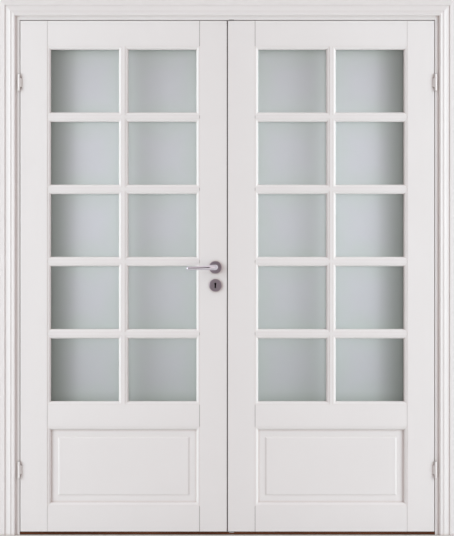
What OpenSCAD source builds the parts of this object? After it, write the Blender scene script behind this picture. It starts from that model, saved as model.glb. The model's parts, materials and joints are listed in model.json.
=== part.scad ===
// French doors: two glazed leaves with raised bottom panels, hung in a rebated frame with moulded casing.
// X runs along the width, Y from the front to the back, Z up from the floor. Sizes are in millimetres.

/* [Leaves] */
// Width of one leaf
leaf_w = 825; // [700:5:950]
// Height of one leaf
leaf_h = 2040; // [1950:5:2200]
// Thickness of one leaf
leaf_t = 40; // [40:1:48]
// Flat face of a stile, without its moulded edge
stile_face_w = 108; // [104:1:125]
// Flat face of the top rail
top_rail_face_h = 101; // [90:1:130]
// Flat face of the middle rail
mid_rail_face_h = 87; // [80:1:120]
// Flat face of the bottom rail
bottom_rail_face_h = 101; // [90:1:140]
// Clear height of the panel's opening
panel_open_h = 290; // [220:5:360]
// Rows of panes in a leaf
light_rows = 5; // [3:1:6]
// Columns of panes in a leaf
light_columns = 2; // [2:1:3]
// Width of a glazing bar over both its moulded edges
bar_w = 39; // [36:1:48]
// Eased corner along the outer edges of the stiles
arris = 1; // [0.5:0.25:1.5]

/* [Moulded edge] */
// Width of the moulding along the edge of stiles, rails and bars
sticking_w = 14; // [13:0.5:16]
// Flat ledge between the face and the round
quirk_w = 3; // [2:0.5:4]
// Depth of that ledge below the face
quirk_d = 1.5; // [1:0.25:2.5]
// Square nose under the round
nose_t = 1.5; // [1:0.25:3]
// Width of the rebate behind the moulding
rebate_w = 12; // [10:0.5:12]

/* [Glass and panel] */
// Thickness of the panes
glass_t = 4; // [3:0.5:6]
// Gap round the edge of a pane
glass_edge_gap = 2; // [1:0.5:4]
// Chamfer on the glazing beads
bead_chamfer = 6; // [3:0.5:8]
// Thickness of the panel at its edge
panel_t = 10; // [8:0.5:12]
// Gap round the edge of the panel
panel_edge_gap = 1.5; // [1:0.5:4]
// Flat margin round the raised field
field_margin = 27; // [20:1:40]
// Width of the slope up to the field
field_slope_w = 6; // [4:0.5:12]
// Height of the field above the margin
field_rise = 3; // [2:0.5:5]

/* [Gaps] */
// Between the two leaves
meeting_gap = 4; // [3.5:0.25:6]
// Between a leaf and its jamb
edge_gap = 2.5; // [2.5:0.25:4]
// Between the leaves and the head
head_gap = 3; // [2:0.25:5]
// Between the leaves and the threshold
bottom_gap = 3; // [2:0.25:6]
// Between the back of a leaf and the stop
stop_gap = 3; // [2.5:0.25:5]

/* [Frame] */
// Thickness of the jambs and the head
jamb_t = 30; // [28:1:45]
// Depth of the frame from front to back
jamb_d = 92; // [86:1:140]
// Thickness of the stop beyond the jamb
stop_t = 12; // [11:0.5:18]
// Height of the threshold
threshold_h = 10; // [9:0.5:15]
// Width of the casing
casing_w = 70; // [62:1:100]
// Thickness of the casing
casing_t = 12; // [11:0.5:20]
// Strip of jamb that shows beside the casing
casing_reveal = 16; // [13:0.5:20]

/* [Hinges] */
// From the end of the leaf to the middle of a hinge
hinge_inset = 247; // [180:1:320]
// Height of the whole hinge
hinge_h = 66; // [60:1:80]
// Height of the middle knuckle, on the leaf
leaf_knuckle_h = 36; // [30:1:40]
// Diameter of the knuckles
knuckle_d = 10; // [10:0.5:12]
// Diameter of the hinge pin
pin_d = 6; // [5:0.5:6.5]
// Axis of the hinge outside the edge of the leaf
axis_out = 4.5; // [4.5:0.25:5.5]
// Axis of the hinge in front of the leaf
axis_front = 7; // [6.5:0.25:8]
// Thickness of the hinge plates
hinge_plate_t = 2.5; // [2:0.25:2.5]
// Depth of the hinge plates in the wood
hinge_tang_d = 28; // [20:1:32]
// Stretch of the hinge flag over the face of the leaf
flag_over = 6; // [5:0.5:10]

/* [Lock and levers] */
// From the meeting edge to the spindle
backset = 46; // [44:1:50]
// Height of the spindle above the bottom of the leaf
spindle_up = 1055; // [950:5:1100]
// From the spindle down to the keyhole
key_drop = 72; // [70:1:85]
// Diameter of the roses
rose_d = 50; // [46:1:56]
// Thickness of the roses
rose_t = 8; // [6:0.5:10]
// Length of a lever from the spindle to its tip
lever_reach = 115; // [100:1:130]
// From the face of the leaf to the front of a lever
lever_project = 55; // [50:1:65]
// Radius of the bend of a lever, along its middle
lever_bend_r = 26; // [22:1:28]
// Diameter of a lever where its bend begins
lever_head_d = 25; // [22:0.5:27]
// Thickness of a lever's arm behind its bend
lever_t = 14; // [12:0.5:16]
// Side of the square spindle
spindle_w = 8; // [7:0.5:9]
// Height of the lock case
case_h = 170; // [165:1:190]
// Thickness of the lock case
case_t = 16; // [15:0.5:18]
// Throw of the flush bolts
flush_throw = 12; // [8:0.5:12]

/* [Hidden] */
$fn = 64;
// Overrun of every cut
over = 1;

// The moulded edge
ovolo_r = sticking_w - quirk_w;
sticking_d = quirk_d + ovolo_r + nose_t;
front_y = -leaf_t / 2;
back_y = leaf_t / 2;
rebate_y = front_y + sticking_d;

// Heights within a leaf, from its lower edge
stile_w = stile_face_w + sticking_w;
panel_z = bottom_rail_face_h + sticking_w;
mid_rail_z = panel_z + panel_open_h + sticking_w;
lights_z = mid_rail_z + mid_rail_face_h + sticking_w;
lights_h = leaf_h - top_rail_face_h - sticking_w - lights_z;
lights_w = leaf_w - 2 * stile_w;
light_w = (lights_w - (light_columns - 1) * bar_w) / light_columns;
light_h = (lights_h - (light_rows - 1) * bar_w) / light_rows;
bar_face_w = bar_w - 2 * sticking_w;
rail_l = leaf_w - 2 * stile_face_w;
bead_d = back_y - rebate_y - glass_t;
panel_bead_d = back_y - rebate_y - panel_t;

// Fine groove where a rail or bar meets a stile
joint_line_w = 1.6;
joint_line_d = 1;

// Dowels that join rails and stiles
dowel_d = 14;
dowel_l = 110;
dowel_pitch = 46;
dowel_clear = 0.1;
dowel_u = stile_face_w + sticking_w / 2 - dowel_l / 2;
dowel_y = (rebate_y + back_y) / 2;
dowel_zs = [for (rail_z = [bottom_rail_face_h / 2, mid_rail_z + mid_rail_face_h / 2,
    leaf_h - top_rail_face_h / 2]) for (side = [-1, 1]) rail_z + side * dowel_pitch / 2];

// The frame
leaf_z = threshold_h + bottom_gap;
leaf_x = meeting_gap / 2 + leaf_w;
open_x = leaf_x + edge_gap;
open_z = leaf_z + leaf_h + head_gap;
stop_y = back_y + stop_gap;
frame_back_y = front_y + jamb_d;
jamb_h = open_z + jamb_t;
casing_x = open_x + casing_reveal;
casing_z = open_z + casing_reveal;

// The casing's section, as shares of its width and thickness
casing_bead_share = 0.58;
casing_quirk_share = 0.88;
casing_dish_low_share = 0.7;
dish_ends_shares = [0.27, 0.59];
band_corner_share = 0.2;

// Shadow line under the front edge of the threshold
threshold_foot_h = 3;
threshold_foot_d = 5;

// Seals
seal_w = 5;
seal_tang_w = 2;
seal_tang_d = 4;
seal_clear = 0.3;
seal_in = 5;
meeting_seal_w = 4;
meeting_seal_d = 4;
meeting_seal_proud = 2.2;
meeting_seal_in = 5;
meeting_seal_y = front_y + meeting_seal_in;

// Fixing sleeves through the jambs
fixing_y = (stop_y + frame_back_y) / 2;
fixing_d = 8.4;
sleeve_d = 12;
sleeve_clear = 0.05;
fixing_shares = [0.1, 0.37, 0.63, 0.9];

// Hinges
axis_u = -axis_out;
axis_y = front_y - axis_front;
pin_clear = 0.05;
knuckle_gap = 0.2;
pin_head_d = 9.4;
pin_head_t = 2;
jamb_tang_in = 2.25;
flag_end_gap = 1.5;
slot_end_d = 4.5;
hinge_zs = [hinge_inset, leaf_h - hinge_inset];

// Lock, roses and levers, from the meeting edge inwards
spindle_u = leaf_w - backset;
key_z = spindle_up - key_drop;
faceplate_t = 3;
faceplate_w = 20;
faceplate_h = 235;
lock_mid_z = spindle_up - key_drop / 2;
case_d = 67;
case_clear = 0.25;
lock_slide_clear = 0.3;
latch_w = 12;
latch_h = 18;
latch_l = 30;
dead_h = 22;
dead_l = 31;
bolt_back = 0.2;
follower_d = 20;
follower_clear = 0.05;
lever_neck_d = 17;
neck_clear = 0.05;
neck_hole_d = 21;
keyhole_d = 9;
keyhole_slot_w = 6;
keyhole_h = 22;
curtain_t = 3;
key_bore_d = 24;
rose_round = 2.5;
spindle_in = 25;
lever_lift = 1;
lever_collar_d = 20;
lever_drop = 4;
lever_back = 4;
lever_collar_z = rose_t + lever_lift;
lever_arm_z = lever_project - lever_t / 2;
lever_bend_z = lever_arm_z - lever_bend_r;
lever_bend_l = lever_bend_r * PI / 2;
lever_arm_l = lever_reach - lever_bend_r;
// Along the arm: shares of its length, of the head's diameter as its height, and of its thickness
lever_arm_shares = [[0, 0.74, 1], [0.12, 0.69, 0.96], [0.3, 0.64, 0.91], [0.55, 0.61, 0.86], [0.78, 0.57, 0.8],
    [0.9, 0.49, 0.71], [0.96, 0.38, 0.58], [0.99, 0.22, 0.38], [1, 0.08, 0.15]];
lever_collar_steps = 4;
lever_bend_steps = 10;
lever_fn = 32;

// Strike plate and the pockets behind it
strike_t = 2.5;
strike_w = 20;
strike_h = 200;
strike_clear = 1;
strike_pocket_d = 18;

// Flush bolts
flush_plate_w = 20;
flush_plate_h = 180;
flush_plate_t = 3;
flush_plate_inset = 45;
flush_rod_d = 10;
flush_rod_in = 12;
flush_clear = 0.3;
flush_back = 0.5;
thumb_w = 6;
thumb_h = 14;
thumb_back = 0.3;
flush_pocket_w = 13;
flush_pocket_h = 70;
keeper_w = 20;
keeper_l = 40;
keeper_t = 2;
keeper_clear = 1;
flush_u = leaf_w - flush_plate_t - flush_rod_in;
flush_x = leaf_x - flush_u;
flush_plate_mid = flush_plate_inset + flush_plate_h / 2;

// Colours
paint = [0.92, 0.91, 0.91];
hinge_white = [0.9, 0.89, 0.88];
pane_tint = [0.76, 0.79, 0.8, 0.6];
satin_metal = [0.62, 0.61, 0.62];
rose_metal = [0.49, 0.43, 0.47];
steel = [0.7, 0.7, 0.72];
seal_black = [0.12, 0.11, 0.11];
threshold_brown = [0.37, 0.23, 0.16];
bare_wood = [0.75, 0.62, 0.45];
sleeve_grey = [0.55, 0.56, 0.58];

// Placing. A leaf is drawn from its hinge edge: X towards the meeting edge, Z from its lower edge.
module on_active_leaf() {
    translate([-leaf_x, 0, leaf_z])
        children();
}

module on_passive_leaf() {
    mirror([1, 0, 0])
        on_active_leaf()
            children();
}

// A section drawn as (Z, Y), run along X from one place for a length
module run_x(from_x, length) {
    translate([from_x + length, 0, 0])
        rotate([0, -90, 0])
            linear_extrude(length)
                children();
}

// An outline drawn as (X, Z), given a thickness from one Y backwards
module plate_y(from_y, thickness) {
    translate([0, from_y + thickness, 0])
        rotate([90, 0, 0])
            linear_extrude(thickness)
                children();
}

// A block between two corners
module block(low, high) {
    translate(low)
        cube(high - low);
}

// Section of a board with the moulded edge on its +X side; the face starts at zero
module moulded_edge(face) {
    translate([0, front_y])
        square([face, leaf_t]);
    translate([0, front_y + quirk_d])
        square([face + quirk_w, sticking_d - quirk_d]);
    intersection() {
        translate([face + quirk_w, front_y + quirk_d + ovolo_r])
            circle(ovolo_r);
        translate([face + quirk_w, front_y + quirk_d])
            square(ovolo_r);
    }
    translate([0, rebate_y - nose_t])
        square([face + sticking_w, nose_t]);
    translate([0, rebate_y])
        square([face + sticking_w - rebate_w, back_y - rebate_y]);
}

// The same on both edges, centred
module moulded_both(face) {
    moulded_edge(face / 2);
    mirror([1, 0])
        moulded_edge(face / 2);
}

// Frame

// Left jamb with its stop, before it is cut for its fittings
module jamb_blank() {
    block([-open_x - jamb_t, front_y, 0], [-open_x, frame_back_y, jamb_h]);
    block([-open_x - over, stop_y, 0], [-open_x + stop_t, frame_back_y, open_z]);
}

module jamb() {
    difference() {
        jamb_blank();
        translate([-leaf_x, 0, leaf_z])
            for (z = hinge_zs)
                translate([0, 0, z])
                    hinge_jamb_tangs(over);
        for (share = fixing_shares)
            translate([-open_x - jamb_t - over, fixing_y, share * jamb_h])
                rotate([0, 90, 0])
                    cylinder(d = sleeve_d + 2 * sleeve_clear, h = jamb_t + stop_t + 2 * over);
        seal_groove_side();
    }
}

module seal_groove_side() {
    block([seal_tang_x(), stop_y - over, threshold_h],
        [seal_tang_x() + seal_tang_w, stop_y + seal_tang_d, open_z]);
}

function seal_x() = -open_x + seal_in;
function seal_tang_x() = seal_x() + (seal_w - seal_tang_w) / 2;
function seal_z() = open_z - seal_in;
function seal_tang_z() = seal_z() - (seal_w + seal_tang_w) / 2;

module left_jamb() {
    color(paint)
        jamb();
}

module right_jamb() {
    color(paint)
        mirror([1, 0, 0])
            jamb();
}

module head_jamb() {
    color(paint)
        difference() {
            union() {
                block([-open_x, front_y, open_z], [open_x, frame_back_y, jamb_h]);
                block([-open_x, stop_y, open_z - stop_t], [open_x, frame_back_y, open_z + over]);
            }
            jamb_blank();
            mirror([1, 0, 0])
                jamb_blank();
            block([-open_x, stop_y - over, seal_tang_z()],
                [open_x, stop_y + seal_tang_d, seal_tang_z() + seal_tang_w]);
            translate([flush_x, 0, open_z])
                keeper_seat(jamb_t / 2);
        }
}

module threshold() {
    color(threshold_brown)
        difference() {
            block([-open_x, front_y, 0], [open_x, frame_back_y, threshold_h]);
            jamb_blank();
            mirror([1, 0, 0])
                jamb_blank();
            block([-open_x - over, front_y - over, -over],
                [open_x + over, front_y + threshold_foot_d, threshold_foot_h]);
            translate([flush_x, 0, threshold_h])
                mirror([0, 0, 1])
                    keeper_seat(threshold_h + over);
        }
}

// Seat for a bolt keeper and the hole behind it, cut upwards from zero
module keeper_seat(depth) {
    block([-keeper_w / 2, -keeper_l / 2, -over], [keeper_w / 2, keeper_l / 2, keeper_t]);
    cylinder(d = flush_rod_d + 4 * keeper_clear, h = depth);
}

module keeper() {
    difference() {
        block([-keeper_w / 2, -keeper_l / 2, 0], [keeper_w / 2, keeper_l / 2, keeper_t]);
        translate([0, 0, -over])
            cylinder(d = flush_rod_d + 2 * keeper_clear, h = keeper_t + 2 * over);
    }
}

module bolt_keepers() {
    color(steel) {
        translate([flush_x, 0, open_z])
            keeper();
        translate([flush_x, 0, threshold_h])
            mirror([0, 0, 1])
                keeper();
    }
}

module frame_seals() {
    color(seal_black) {
        for (side = [0, 1])
            mirror([side, 0, 0])
                side_seal();
        head_seal();
    }
}

// The strip lies on the stop's face; its tang is pressed into the groove
module side_seal() {
    block([seal_x(), back_y + seal_clear, threshold_h], [seal_x() + seal_w, stop_y, seal_z() - seal_w]);
    block([seal_tang_x(), stop_y - seal_clear, threshold_h],
        [seal_tang_x() + seal_tang_w, stop_y + seal_tang_d, seal_z() - seal_w]);
}

module head_seal() {
    block([seal_x(), back_y + seal_clear, seal_z() - seal_w], [-seal_x(), stop_y, seal_z()]);
    block([-open_x + stop_t, stop_y - seal_clear, seal_tang_z()],
        [open_x - stop_t, stop_y + seal_tang_d, seal_tang_z() + seal_tang_w]);
}

module fixing_sleeves() {
    color(sleeve_grey)
        for (side = [0, 1], share = fixing_shares)
            mirror([side, 0, 0])
                translate([-open_x - jamb_t, fixing_y, share * jamb_h])
                    rotate([0, 90, 0])
                        difference() {
                            cylinder(d = sleeve_d, h = jamb_t + stop_t);
                            translate([0, 0, -over])
                                cylinder(d = fixing_d, h = jamb_t + stop_t + 2 * over);
                        }
}

// Section of the casing: a bead at the inner edge, a rising dish and a band at the outer edge
module casing_section() {
    bead_r = casing_bead_share * casing_t;
    bead_y = casing_t - bead_r;
    quirk_y = casing_quirk_share * casing_t;
    dish_low = casing_dish_low_share * casing_t;
    dish_in = dish_ends_shares[0] * casing_w;
    dish_out = dish_ends_shares[1] * casing_w;
    dish_run = dish_out - dish_in;
    dish_depth = casing_t - dish_low;
    dish_r = (pow(dish_run, 2) + pow(dish_depth, 2)) / (2 * dish_depth);
    band_r = band_corner_share * casing_t;
    square([casing_w, bead_y]);
    translate([bead_r, bead_y])
        circle(bead_r);
    translate([bead_r, 0])
        square([dish_in - bead_r, quirk_y]);
    difference() {
        translate([dish_in, 0])
            square([dish_run, casing_t]);
        translate([dish_out, dish_low + dish_r])
            circle(dish_r, $fn = 4 * $fn);
    }
    translate([dish_out, 0])
        square([casing_w - dish_out, casing_t - band_r]);
    translate([dish_out + band_r, 0])
        square([casing_w - dish_out - 2 * band_r, casing_t]);
    for (x = [dish_out + band_r, casing_w - band_r])
        translate([x, casing_t - band_r])
            circle(band_r);
}

module side_casing() {
    intersection() {
        translate([-casing_x, front_y, 0])
            rotate([0, 0, 180])
                linear_extrude(casing_z + casing_w)
                    casing_section();
        plate_y(front_y - casing_t, casing_t)
            polygon([[-casing_x, 0], [-casing_x, casing_z], [-casing_x - casing_w, casing_z + casing_w],
                [-casing_x - casing_w, 0]]);
    }
}

module left_casing() {
    color(paint)
        side_casing();
}

module right_casing() {
    color(paint)
        mirror([1, 0, 0])
            side_casing();
}

module head_casing() {
    out_x = casing_x + casing_w;
    color(paint)
        intersection() {
            translate([0, front_y, casing_z])
                run_x(-out_x, 2 * out_x)
                    mirror([0, 1])
                        casing_section();
            plate_y(front_y - casing_t, casing_t)
                polygon([[-casing_x, casing_z], [casing_x, casing_z], [out_x, casing_z + casing_w],
                    [-out_x, casing_z + casing_w]]);
        }
}

// Hinges, drawn round the middle of one hinge in a leaf's own place

module on_axis() {
    translate([axis_u, axis_y, 0])
        children();
}

module knuckle_tube(low, high) {
    translate([0, 0, low])
        cylinder(d = knuckle_d, h = high - low);
}

module pin_bore() {
    translate([0, 0, -hinge_h])
        cylinder(d = pin_d + 2 * pin_clear, h = 2 * hinge_h);
}

// The plates that run from the outer knuckles into the jamb
module hinge_jamb_tangs(extra) {
    for (side = [0, 1])
        mirror([0, 0, side])
            block([axis_u - jamb_tang_in - hinge_plate_t, axis_y - extra, leaf_knuckle_h / 2],
                [axis_u - jamb_tang_in, front_y + hinge_tang_d, hinge_h / 2]);
}

module hinge_frame_half() {
    color(hinge_white)
        difference() {
            union() {
                on_axis() {
                    knuckle_tube(leaf_knuckle_h / 2, hinge_h / 2);
                    knuckle_tube(-hinge_h / 2, -leaf_knuckle_h / 2);
                }
                hinge_jamb_tangs(0);
            }
            on_axis()
                pin_bore();
        }
}

// The plate that runs from the flag into the face of the leaf
module hinge_leaf_tang(extra) {
    block([flag_over - hinge_plate_t, front_y - extra, -leaf_knuckle_h / 2 + knuckle_gap],
        [flag_over, front_y + hinge_tang_d, leaf_knuckle_h / 2 - knuckle_gap]);
}

// The slot is routed with round ends that run a little past the plate
module hinge_leaf_slot() {
    hinge_leaf_tang(over);
    for (side = [-1, 1])
        translate([flag_over - hinge_plate_t / 2, front_y + hinge_tang_d, side * leaf_knuckle_h / 2])
            rotate([90, 0, 0])
                cylinder(d = slot_end_d, h = hinge_tang_d + over);
}

module hinge_leaf_half() {
    half_h = leaf_knuckle_h / 2 - knuckle_gap;
    color(hinge_white)
        difference() {
            union() {
                on_axis()
                    knuckle_tube(-half_h, half_h);
                translate([0, 0, -half_h])
                    linear_extrude(2 * half_h)
                        polygon([[flag_over, front_y], [-flag_end_gap, front_y],
                            [axis_u, axis_y + pin_d / 2], [axis_u, axis_y],
                            [axis_u + pin_d / 2, axis_y], [flag_over, front_y - hinge_plate_t]]);
                hinge_leaf_tang(0);
            }
            on_axis()
                pin_bore();
        }
}

module hinge_pin() {
    on_axis() {
        translate([0, 0, -hinge_h / 2])
            cylinder(d = pin_d, h = hinge_h);
        translate([0, 0, hinge_h / 2])
            cylinder(d = pin_head_d, h = pin_head_t);
    }
}

module left_upper_hinge_frame_half() {
    on_active_leaf()
        translate([0, 0, hinge_zs[1]])
            hinge_frame_half();
}

module left_lower_hinge_frame_half() {
    on_active_leaf()
        translate([0, 0, hinge_zs[0]])
            hinge_frame_half();
}

module right_upper_hinge_frame_half() {
    on_passive_leaf()
        translate([0, 0, hinge_zs[1]])
            hinge_frame_half();
}

module right_lower_hinge_frame_half() {
    on_passive_leaf()
        translate([0, 0, hinge_zs[0]])
            hinge_frame_half();
}

module hinge_pins() {
    color(hinge_white)
        for (side = [0, 1], z = hinge_zs)
            mirror([side, 0, 0])
                on_active_leaf()
                    translate([0, 0, z])
                        hinge_pin();
}

module left_upper_hinge_leaf_half() {
    on_active_leaf()
        translate([0, 0, hinge_zs[1]])
            hinge_leaf_half();
}

module left_lower_hinge_leaf_half() {
    on_active_leaf()
        translate([0, 0, hinge_zs[0]])
            hinge_leaf_half();
}

module right_upper_hinge_leaf_half() {
    on_passive_leaf()
        translate([0, 0, hinge_zs[1]])
            hinge_leaf_half();
}

module right_lower_hinge_leaf_half() {
    on_passive_leaf()
        translate([0, 0, hinge_zs[0]])
            hinge_leaf_half();
}

// Leaf joinery, drawn from the hinge edge and the lower edge of a leaf

module dowel_bores() {
    for (z = dowel_zs)
        translate([dowel_u, dowel_y, z])
            rotate([0, 90, 0])
                cylinder(d = dowel_d + 2 * dowel_clear, h = dowel_l);
}

// The hinge side as is; the other side of the leaf is its mirror image
module far_side() {
    translate([leaf_w, 0, 0])
        mirror([1, 0, 0])
            children();
}

module stile_blank() {
    linear_extrude(leaf_h)
        difference() {
            moulded_edge(stile_face_w);
            for (y = [front_y, back_y])
                translate([0, y])
                    rotate(45)
                        square(arris * sqrt(2), center = true);
        }
}

module both_stile_blanks() {
    stile_blank();
    far_side()
        stile_blank();
}

module hinge_stile() {
    color(paint)
        difference() {
            stile_blank();
            for (z = hinge_zs)
                translate([0, 0, z])
                    hinge_leaf_slot();
            dowel_bores();
        }
}

module meeting_stile_blank() {
    difference() {
        far_side()
            stile_blank();
        far_side()
            dowel_bores();
    }
}

// A rail is coped over the stiles' moulding
module coped_rail() {
    color(paint)
        difference() {
            run_x(stile_face_w, rail_l)
                children();
            both_stile_blanks();
            joint_lines();
            dowel_bores();
            far_side()
                dowel_bores();
        }
}

// The grooves at both ends of a rail or bar, on both faces of the leaf
module joint_lines() {
    for (end = [stile_face_w, leaf_w - stile_face_w - joint_line_w]) {
        block([end, front_y - over, 0], [end + joint_line_w, front_y + joint_line_d, leaf_h]);
        block([end, back_y - joint_line_d, 0], [end + joint_line_w, back_y + over, leaf_h]);
    }
}

module top_rail() {
    coped_rail()
        translate([leaf_h, 0])
            mirror([1, 0])
                moulded_edge(top_rail_face_h);
}

module mid_rail() {
    coped_rail()
        translate([mid_rail_z + mid_rail_face_h / 2, 0])
            moulded_both(mid_rail_face_h);
}

module bottom_rail() {
    coped_rail()
        moulded_edge(bottom_rail_face_h);
}

module dowels() {
    color(bare_wood)
        for (side = [0, 1], z = dowel_zs)
            translate([side * leaf_w, 0, 0])
                mirror([side, 0, 0])
                    translate([dowel_u, dowel_y, z])
                        rotate([0, 90, 0])
                            cylinder(d = dowel_d, h = dowel_l);
}

// Middle of a cross bar, counted from the lowest, and of an upright bar, from the hinge side
function cross_bar_z(i) = lights_z + i * light_h + (i - 0.5) * bar_w;
function upright_bar_u(i) = stile_w + i * light_w + (i - 0.5) * bar_w;
function light_z(i) = lights_z + i * (light_h + bar_w);
function light_u(i) = stile_w + i * (light_w + bar_w);

module cross_bar_blank(i) {
    run_x(stile_face_w, rail_l)
        translate([cross_bar_z(i), 0])
            moulded_both(bar_face_w);
}

module cross_bars() {
    color(paint)
        difference() {
            for (i = [1:light_rows - 1])
                cross_bar_blank(i);
            both_stile_blanks();
            joint_lines();
        }
}

// An upright bar between two cross bars, or a cross bar and a rail, coped over both
module upright_bar(column, row) {
    low = light_z(row) - sticking_w;
    high = light_z(row) + light_h + sticking_w;
    difference() {
        translate([upright_bar_u(column), 0, low])
            linear_extrude(high - low)
                moulded_both(bar_face_w);
        for (end = [0, 1])
            translate([0, 0, end * (low + high)])
                mirror([0, 0, end])
                    run_x(upright_bar_u(column) - bar_w, 2 * bar_w)
                        translate([low - bar_face_w / 2, 0])
                            moulded_edge(bar_face_w / 2);
    }
}

module upright_bars() {
    color(paint)
        for (column = [1:light_columns - 1], row = [0:light_rows - 1])
            upright_bar(column, row);
}

module glass() {
    edge = rebate_w - glass_edge_gap;
    color(pane_tint)
        for (column = [0:light_columns - 1], row = [0:light_rows - 1])
            block([light_u(column) - edge, rebate_y, light_z(row) - edge],
                [light_u(column) + light_w + edge, rebate_y + glass_t, light_z(row) + light_h + edge]);
}

// One mitred length of bead along the lower edge of an opening, with its back in the rebate
module bead_side(length, depth) {
    intersection() {
        run_x(0, length)
            translate([0, back_y - depth])
                polygon([[0, 0], [rebate_w, 0], [rebate_w, depth - bead_chamfer],
                    [rebate_w - bead_chamfer, depth], [0, depth]]);
        plate_y(back_y - depth, depth)
            polygon([[0, 0], [length, 0], [length - rebate_w, rebate_w], [rebate_w, rebate_w]]);
    }
}

// Four lengths of bead round an opening
module bead_ring(u, z, w, h, depth) {
    out_w = w + 2 * rebate_w;
    out_h = h + 2 * rebate_w;
    translate([u - rebate_w, 0, z - rebate_w]) {
        bead_side(out_w, depth);
        translate([0, 0, out_h])
            mirror([0, 0, 1])
                bead_side(out_w, depth);
        mirror([1, 0, 0])
            rotate([0, -90, 0])
                bead_side(out_h, depth);
        translate([out_w, 0, 0])
            rotate([0, -90, 0])
                bead_side(out_h, depth);
    }
}

module beads() {
    color(paint) {
        for (column = [0:light_columns - 1], row = [0:light_rows - 1])
            bead_ring(light_u(column), light_z(row), light_w, light_h, bead_d);
        bead_ring(stile_w, panel_z, lights_w, panel_open_h, panel_bead_d);
    }
}

// Section of the raised field, as (along, Y): its foot on the panel, its top towards the front
module field_section(length) {
    polygon([[0, over], [0, 0], [field_slope_w, -field_rise], [length - field_slope_w, -field_rise],
        [length, 0], [length, over]]);
}

module raised_field() {
    field_w = lights_w - 2 * field_margin;
    field_h = panel_open_h - 2 * field_margin;
    intersection() {
        linear_extrude(field_h)
            field_section(field_w);
        run_x(0, field_w)
            field_section(field_h);
    }
}

module panel() {
    edge = rebate_w - panel_edge_gap;
    color(paint) {
        block([stile_w - edge, rebate_y, panel_z - edge],
            [stile_w + lights_w + edge, rebate_y + panel_t, panel_z + panel_open_h + edge]);
        translate([stile_w + field_margin, rebate_y, panel_z + field_margin])
            raised_field();
        translate([stile_w + field_margin, rebate_y + panel_t, panel_z + field_margin])
            mirror([0, 1, 0])
                raised_field();
    }
}

// Lock and handles on the active leaf

// A bar along X whose outer end lies a little inside the meeting edge
module edge_bar(z, w, h, length, back) {
    block([leaf_w - back - length, -w / 2, z - h / 2], [leaf_w - back, w / 2, z + h / 2]);
}

module lock_stile() {
    color(paint)
        difference() {
            meeting_stile_blank();
            edge_bar(lock_mid_z, faceplate_w, faceplate_h, faceplate_t, 0);
            edge_bar(lock_mid_z, case_t + 2 * case_clear, case_h + 2 * case_clear, case_d + case_clear,
                faceplate_t);
            across_leaf(spindle_up)
                cylinder(d = neck_hole_d, h = leaf_t + 2 * over);
            across_leaf(key_z)
                cylinder(d = key_bore_d, h = leaf_t + 2 * over);
        }
}

// Along Y through the leaf at the backset, from just before the front face
module across_leaf(z) {
    translate([spindle_u, front_y - over, z])
        rotate([-90, 0, 0])
            children();
}

module keyhole_outline() {
    translate([0, (keyhole_h - keyhole_d) / 2])
        circle(d = keyhole_d);
    translate([-keyhole_slot_w / 2, -keyhole_h / 2])
        square([keyhole_slot_w, keyhole_h - keyhole_d / 2]);
}

// The keyhole from each side of the lock, up to the curtain in its middle
module keyhole_cuts() {
    for (side = [0, 1])
        mirror([0, side, 0])
            translate([spindle_u, 0, key_z])
                plate_y(curtain_t / 2, leaf_t)
                    keyhole_outline();
}

module lock_case() {
    color(steel)
        on_active_leaf()
            difference() {
                edge_bar(lock_mid_z, case_t, case_h, case_d, faceplate_t);
                across_leaf(spindle_up)
                    cylinder(d = follower_d + 2 * follower_clear, h = leaf_t + 2 * over);
                edge_bar(spindle_up, latch_w + 2 * lock_slide_clear, latch_h + 2 * lock_slide_clear,
                    latch_l + lock_slide_clear, bolt_back);
                edge_bar(key_z, latch_w + 2 * lock_slide_clear, dead_h + 2 * lock_slide_clear,
                    dead_l + lock_slide_clear, bolt_back);
                keyhole_cuts();
            }
}

module lock_faceplate() {
    color(satin_metal)
        on_active_leaf()
            difference() {
                edge_bar(lock_mid_z, faceplate_w, faceplate_h, faceplate_t, 0);
                edge_bar(spindle_up, latch_w + 2 * lock_slide_clear, latch_h + 2 * lock_slide_clear,
                    latch_l, -over);
                edge_bar(key_z, latch_w + 2 * lock_slide_clear, dead_h + 2 * lock_slide_clear, dead_l, -over);
            }
}

module latch_bolt() {
    color(steel)
        on_active_leaf()
            edge_bar(spindle_up, latch_w, latch_h, latch_l, bolt_back);
}

module dead_bolt() {
    color(steel)
        on_active_leaf()
            edge_bar(key_z, latch_w, dead_h, dead_l, bolt_back);
}

// A turned rose: a flat disc with a rounded rim, drawn upwards from its seat
module rose() {
    rotate_extrude() {
        square([rose_d / 2, rose_t - rose_round]);
        square([rose_d / 2 - rose_round, rose_t]);
        translate([rose_d / 2 - rose_round, rose_t - rose_round])
            circle(rose_round);
    }
}

module lever_rose() {
    difference() {
        rose();
        translate([0, 0, -over])
            cylinder(d = lever_neck_d + 2 * neck_clear, h = rose_t + 2 * over);
    }
}

// Seats on the two faces of the active leaf, with the piece's own Z outwards
module on_front(z) {
    on_active_leaf()
        translate([spindle_u, front_y, z])
            rotate([90, 0, 0])
                children();
}

module on_back(z) {
    on_active_leaf()
        translate([spindle_u, back_y, z])
            mirror([0, 1, 0])
                rotate([90, 0, 0])
                    children();
}

module front_lever_rose() {
    color(rose_metal)
        on_front(spindle_up)
            lever_rose();
}

module back_lever_rose() {
    color(rose_metal)
        on_back(spindle_up)
            lever_rose();
}

module key_rose() {
    difference() {
        rose();
        translate([0, 0, -over])
            linear_extrude(rose_t + 2 * over)
                keyhole_outline();
    }
}

module front_key_rose() {
    color(rose_metal)
        on_front(key_z)
            key_rose();
}

module back_key_rose() {
    color(rose_metal)
        on_back(key_z)
            key_rose();
}

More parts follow.
